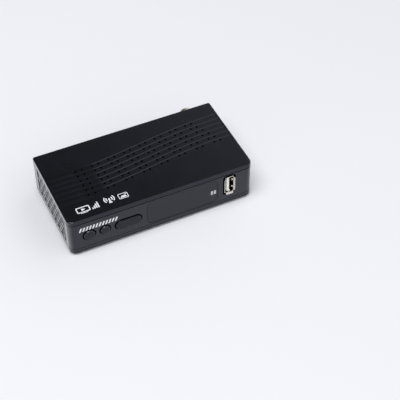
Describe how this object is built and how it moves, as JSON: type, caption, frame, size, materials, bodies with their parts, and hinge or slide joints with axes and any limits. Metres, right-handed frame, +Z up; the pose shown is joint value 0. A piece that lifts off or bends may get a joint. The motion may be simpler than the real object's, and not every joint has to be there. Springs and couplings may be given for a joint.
{
  "type": "terrestrial television receiver",
  "caption": "Flat box-shaped terrestrial television receiver with a vented top, push buttons, a channel rocker, a dark display window, an upright USB port and rear sockets.",
  "frame": {"origin": "centre of the bounding box in plan, on the surface that the feet stand on", "axes": "+X along the front towards the USB port's end, +Y from the front panel to the rear panel, +Z up"},
  "size_m": [0.12, 0.073, 0.0281],
  "materials": {
    "cover_plastic": "fine spark-eroded texture, black",
    "panel_plastic": "fine satin texture, black",
    "smoked_acrylic": "smooth, smoked, nearly black",
    "button_plastic": "satin, charcoal",
    "black_moulding": "satin",
    "white_moulding": "natural white, satin",
    "nickel_plate": "bright nickel plate",
    "tinned_steel": "tinned sheet steel",
    "gold_plate": "gold flash",
    "zinc_screw": "zinc plate",
    "circuit_board": "glass-fibre laminate with green solder mask",
    "chip_resin": "moulded epoxy",
    "finned_aluminium": "plain anodised",
    "capacitor_sleeve": "shrunk sleeve over an aluminium can",
    "ferrite": "pressed ferrite",
    "foot_rubber": "matt",
    "sensor_resin": "infrared-clear resin",
    "lamp_resin": "clear red resin"
  },
  "bodies": {
    "case": {"top_cover": "cover_plastic", "bottom_case": "panel_plastic", "front_bezel": "panel_plastic", "rear_panel": "panel_plastic", "display_window": "smoked_acrylic", "power_switch": "black_moulding", "menu_switch": "black_moulding", "channel_down_switch": "black_moulding", "channel_up_switch": "black_moulding", "front_board": "circuit_board", "main_board": "circuit_board", "display_module": "black_moulding", "infrared_receiver": "sensor_resin", "standby_light": "lamp_resin", "link_header": "black_moulding", "usb_shell": "nickel_plate", "usb_tongue": "white_moulding", "tuner_can": "tinned_steel", "antenna_socket": "nickel_plate", "antenna_insulator": "white_moulding", "antenna_contact": "gold_plate", "hdmi_shell": "nickel_plate", "hdmi_tongue": "black_moulding", "av_jack": "black_moulding", "dc_jack": "black_moulding", "dc_pin": "nickel_plate", "decoder_chip": "chip_resin", "memory_chip": "chip_resin", "flash_chip": "chip_resin", "heat_sink": "finned_aluminium", "power_inductor": "ferrite", "crystal": "tinned_steel", "capacitor_1": "capacitor_sleeve", "capacitor_2": "capacitor_sleeve", "foot_1": "foot_rubber", "foot_2": "foot_rubber", "foot_3": "foot_rubber", "foot_4": "foot_rubber", "case_screw_1": "zinc_screw", "case_screw_2": "zinc_screw", "case_screw_3": "zinc_screw", "case_screw_4": "zinc_screw", "board_screw_1": "zinc_screw", "board_screw_2": "zinc_screw", "board_screw_3": "zinc_screw", "board_screw_4": "zinc_screw", "front_board_screw_1": "zinc_screw", "front_board_screw_2": "zinc_screw"},
    "power": {"power_button": "button_plastic", "power_plunger": "white_moulding"},
    "menu": {"menu_button": "button_plastic", "menu_plunger": "white_moulding"},
    "rocker": {"channel_rocker": "button_plastic", "channel_down_plunger": "white_moulding", "channel_up_plunger": "white_moulding"}
  },
  "joints": [
    {"name": "power_press", "type": "slide", "parent": "case", "child": "power", "axis": [0, 1, 0], "range_m": [0, 0.0005], "stiffness_N_per_m": 2000},
    {"name": "menu_press", "type": "slide", "parent": "case", "child": "menu", "axis": [0, 1, 0], "range_m": [0, 0.0005], "stiffness_N_per_m": 2000},
    {"name": "channel_rock", "type": "hinge", "parent": "case", "child": "rocker", "pos_m": [-0.0228, -0.0323, 0.014], "axis": [0, 0, 1], "range_deg": [-2.5, 2.5], "stiffness_Nm_per_rad": 0.18}
  ]
}
